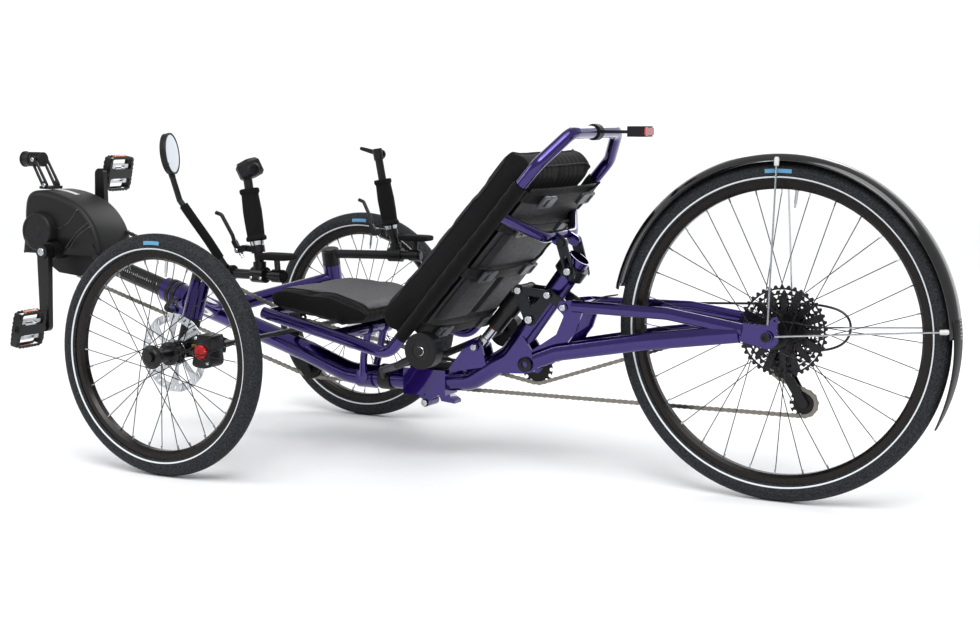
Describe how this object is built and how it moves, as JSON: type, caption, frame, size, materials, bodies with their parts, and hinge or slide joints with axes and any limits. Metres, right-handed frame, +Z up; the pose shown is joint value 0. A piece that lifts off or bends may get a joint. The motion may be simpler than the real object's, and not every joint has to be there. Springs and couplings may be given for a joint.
{
  "type": "recumbent tricycle",
  "caption": "Recumbent tadpole tricycle with pedal-assist motor on the boom, steered front wheels, sprung rear swingarm, mesh seat and folding frame.",
  "frame": {"origin": "bottom centre of the bounding box, on the ground the three tyres stand on", "axes": "+X to the front (cranks and headlight), +Y to the rider's left, +Z up"},
  "size_m": [2.1853, 0.842, 0.704],
  "materials": {
    "purple_paint": "gloss metallic",
    "black_metal": "satin",
    "silver_metal": "brushed",
    "dark_steel": "dark nickel",
    "tyre_rubber": "matt",
    "rim_black": "anodised",
    "black_plastic": "gloss",
    "matt_plastic": "matt",
    "foam": "soft foam",
    "mesh_fabric": "ribbed mesh",
    "panel_fabric": "coated",
    "mirror_glass": "polished",
    "grey_metal": "anodised"
  },
  "bodies": {
    "front_frame": {"main_tube": "purple_paint", "cross_beams": "purple_paint", "boom_clamp": "purple_paint", "seat_yoke": "purple_paint", "bumper": "black_metal", "chain_guide": "black_metal", "chain": "dark_steel"},
    "latch": {"latch_lever": "black_metal"},
    "boom": {"boom_tube": "black_metal", "motor_housing": "matt_plastic", "chain_cover": "black_plastic"},
    "lamp": {"headlight": "black_metal"},
    "crankset": {"crank_left": "black_metal", "crank_right": "black_metal"},
    "left_pedal": {"pedal_left": "silver_metal"},
    "right_pedal": {"pedal_right": "silver_metal"},
    "left_knuckle": {"upright_left": "black_metal", "steering_arm_left": "black_metal", "grip_left": "foam", "controller": "matt_plastic", "mirror_arm": "black_metal"},
    "right_knuckle": {"upright_right": "black_metal", "steering_arm_right": "black_metal", "grip_right": "foam"},
    "left_brake_lever": {"brake_lever_left": "black_metal"},
    "right_brake_lever": {"brake_lever_right": "black_metal"},
    "shifter": {"shifter_lever": "black_metal"},
    "mirror": {"mirror_head": "mirror_glass"},
    "left_wheel": {"front_left_tyre": "tyre_rubber", "front_left_rim": "rim_black", "front_left_hub": "black_metal"},
    "right_wheel": {"front_right_tyre": "tyre_rubber", "front_right_rim": "rim_black", "front_right_hub": "black_metal"},
    "track_rod": {"tie_rod": "black_metal"},
    "rear_section": {"rear_frame": "purple_paint", "post_clamp": "grey_metal"},
    "swing": {"swingarm": "purple_paint", "fender": "black_plastic", "derailleur": "black_metal", "shift_cable": "matt_plastic"},
    "rocker_arm": {"rocker": "grey_metal"},
    "dog_link": {"rocker_link": "grey_metal"},
    "shock_upper": {"shock_body": "black_metal"},
    "shock_lower": {"shock_shaft": "silver_metal"},
    "rear_wheel": {"rear_tyre": "tyre_rubber", "rear_rim": "rim_black", "rear_hub": "black_metal"},
    "cogs": {"cassette": "dark_steel"},
    "swing_idler": {"rear_idler": "matt_plastic"},
    "front_idler": {"chain_idler": "matt_plastic"},
    "cage": {"derailleur_cage": "black_metal"},
    "upper_jockey": {"pulley_upper": "matt_plastic"},
    "lower_jockey": {"pulley_lower": "matt_plastic"},
    "seat": {"seat_frame": "purple_paint", "seat_links": "grey_metal", "seat_cushion": "mesh_fabric", "back_cushion": "mesh_fabric", "back_panel": "panel_fabric", "tail_light": "matt_plastic"}
  },
  "joints": [
    {"name": "boom_slide", "type": "slide", "parent": "front_frame", "child": "boom", "axis": [0.9578, 0, 0.2873], "range_m": [-0.06, 0.04], "deforming": ["chain"]},
    {"name": "latch_lift", "type": "hinge", "parent": "front_frame", "child": "latch", "pos_m": [0.0208, 0, 0.204], "axis": [0, 1, 0], "range_deg": [0, 100]},
    {"name": "headlight_tilt", "type": "hinge", "parent": "boom", "child": "lamp", "pos_m": [1.0488, 0, 0.61], "axis": [0, 1, 0], "range_deg": [-20, 20]},
    {"name": "crank_spin", "type": "hinge", "parent": "boom", "child": "crankset", "pos_m": [0.9488, 0, 0.405], "axis": [0, 1, 0], "continuous": true},
    {"name": "pedal_left_spin", "type": "hinge", "parent": "crankset", "child": "left_pedal", "pos_m": [0.9488, 0.158, 0.235], "axis": [0, 1, 0], "continuous": true},
    {"name": "pedal_right_spin", "type": "hinge", "parent": "crankset", "child": "right_pedal", "pos_m": [0.9488, -0.158, 0.575], "axis": [0, 1, 0], "continuous": true},
    {"name": "steer_left", "type": "hinge", "parent": "front_frame", "child": "left_knuckle", "pos_m": [0.4008, 0.268, 0.303], "axis": [-0.0652, -0.2999, 0.9518], "range_deg": [-20, 20]},
    {"name": "steer_right", "type": "hinge", "parent": "front_frame", "child": "right_knuckle", "pos_m": [0.4008, -0.268, 0.303], "axis": [-0.0652, 0.2999, 0.9518], "range_deg": [-20, 20]},
    {"name": "tie_rod_swing", "type": "hinge", "parent": "left_knuckle", "child": "track_rod", "pos_m": [0.3228, 0.272, 0.256], "axis": [0.0208, -0.3005, 0.9536], "range_deg": [-20.8, 20.8]},
    {"name": "brake_lever_left_pull", "type": "hinge", "parent": "left_knuckle", "child": "left_brake_lever", "pos_m": [0.2858, 0.26049, 0.449], "axis": [0, -1, 0], "range_deg": [0, 20], "stiffness_Nm_per_rad": 0.8, "springref_deg": -8.59},
    {"name": "brake_lever_right_pull", "type": "hinge", "parent": "right_knuckle", "child": "right_brake_lever", "pos_m": [0.2858, -0.26049, 0.449], "axis": [0, -1, 0], "range_deg": [0, 20], "stiffness_Nm_per_rad": 0.8, "springref_deg": -8.59},
    {"name": "shifter_turn", "type": "hinge", "parent": "right_knuckle", "child": "shifter", "pos_m": [0.27314, -0.25237, 0.62803], "axis": [0, 1, 0], "range_deg": [-25, 40]},
    {"name": "mirror_turn", "type": "hinge", "parent": "left_knuckle", "child": "mirror", "pos_m": [0.4058, 0.314, 0.592], "axis": [0.2823, 0.0869, 0.9554], "range_deg": [-25, 25]},
    {"name": "front_left_spin", "type": "hinge", "parent": "left_knuckle", "child": "left_wheel", "pos_m": [0.3918, 0.381, 0.243], "axis": [0, 1, 0], "continuous": true},
    {"name": "front_right_spin", "type": "hinge", "parent": "right_knuckle", "child": "right_wheel", "pos_m": [0.3918, -0.381, 0.243], "axis": [0, 1, 0], "continuous": true},
    {"name": "frame_fold", "type": "hinge", "parent": "front_frame", "child": "rear_section", "pos_m": [-0.0072, 0, 0.126], "axis": [0, -1, 0], "range_deg": [0, 150]},
    {"name": "suspension_swing", "type": "hinge", "parent": "rear_section", "child": "swing", "pos_m": [-0.2502, 0, 0.227], "axis": [0, 1, 0], "range_deg": [0, 8], "stiffness_Nm_per_rad": 3900, "springref_deg": -1.72},
    {"name": "rocker_turn", "type": "hinge", "parent": "rear_section", "child": "rocker_arm", "pos_m": [-0.2522, 0, 0.316], "axis": [0, 1, 0], "range_deg": [0, 17.2]},
    {"name": "rocker_link_turn", "type": "hinge", "parent": "rocker_arm", "child": "dog_link", "pos_m": [-0.2952, 0, 0.368], "axis": [0, 1, 0], "range_deg": [-17.4, 0]},
    {"name": "shock_turn", "type": "hinge", "parent": "rocker_arm", "child": "shock_upper", "pos_m": [-0.2272, 0, 0.373], "axis": [0, 1, 0], "range_deg": [-14.94, 0]},
    {"name": "shock_stroke", "type": "slide", "parent": "shock_upper", "child": "shock_lower", "axis": [-0.6451, 0, 0.7641], "range_m": [0, 0.01764]},
    {"name": "rear_wheel_spin", "type": "hinge", "parent": "swing", "child": "rear_wheel", "pos_m": [-0.7572, 0, 0.3195], "axis": [0, 1, 0], "continuous": true},
    {"name": "cassette_spin", "type": "hinge", "parent": "swing", "child": "cogs", "pos_m": [-0.7572, 0, 0.3195], "axis": [0, 1, 0], "continuous": true},
    {"name": "rear_idler_spin", "type": "hinge", "parent": "rear_section", "child": "swing_idler", "pos_m": [-0.2322, -0.05, 0.205], "axis": [0, 1, 0], "continuous": true},
    {"name": "chain_idler_spin", "type": "hinge", "parent": "front_frame", "child": "front_idler", "pos_m": [0.3528, -0.05, 0.303], "axis": [0, 1, 0], "continuous": true},
    {"name": "cage_swing", "type": "hinge", "parent": "swing", "child": "cage", "pos_m": [-0.7522, -0.05, 0.248], "axis": [0, -1, 0], "range_deg": [0, 30], "stiffness_Nm_per_rad": 0.5, "springref_deg": -17.19},
    {"name": "pulley_upper_spin", "type": "hinge", "parent": "cage", "child": "upper_jockey", "pos_m": [-0.7522, -0.05, 0.248], "axis": [0, 1, 0], "continuous": true},
    {"name": "pulley_lower_spin", "type": "hinge", "parent": "cage", "child": "lower_jockey", "pos_m": [-0.7932, -0.05, 0.181], "axis": [0, 1, 0], "continuous": true},
    {"name": "seat_recline", "type": "hinge", "parent": "front_frame", "child": "seat", "pos_m": [0.1228, 0, 0.2756], "axis": [0, -1, 0], "range_deg": [0, 3]}
  ],
  "couplings": [
    {"joint": "steer_right", "follows": "steer_left", "ratio": 1},
    {"joint": "tie_rod_swing", "follows": "steer_left", "ratio": -1.037},
    {"joint": "rocker_turn", "follows": "suspension_swing", "ratio": 2.148},
    {"joint": "rocker_link_turn", "follows": "suspension_swing", "ratio": -2.173},
    {"joint": "shock_turn", "follows": "suspension_swing", "ratio": -1.8652},
    {"joint": "shock_stroke", "follows": "suspension_swing", "m_per_rad": 0.1262},
    {"joint": "cassette_spin", "follows": "crank_spin", "ratio": 2.5333},
    {"joint": "rear_idler_spin", "follows": "crank_spin", "ratio": -2.5333},
    {"joint": "chain_idler_spin", "follows": "crank_spin", "ratio": -2.5333},
    {"joint": "pulley_upper_spin", "follows": "crank_spin", "ratio": -3.1667},
    {"joint": "pulley_lower_spin", "follows": "crank_spin", "ratio": 3.1667}
  ]
}
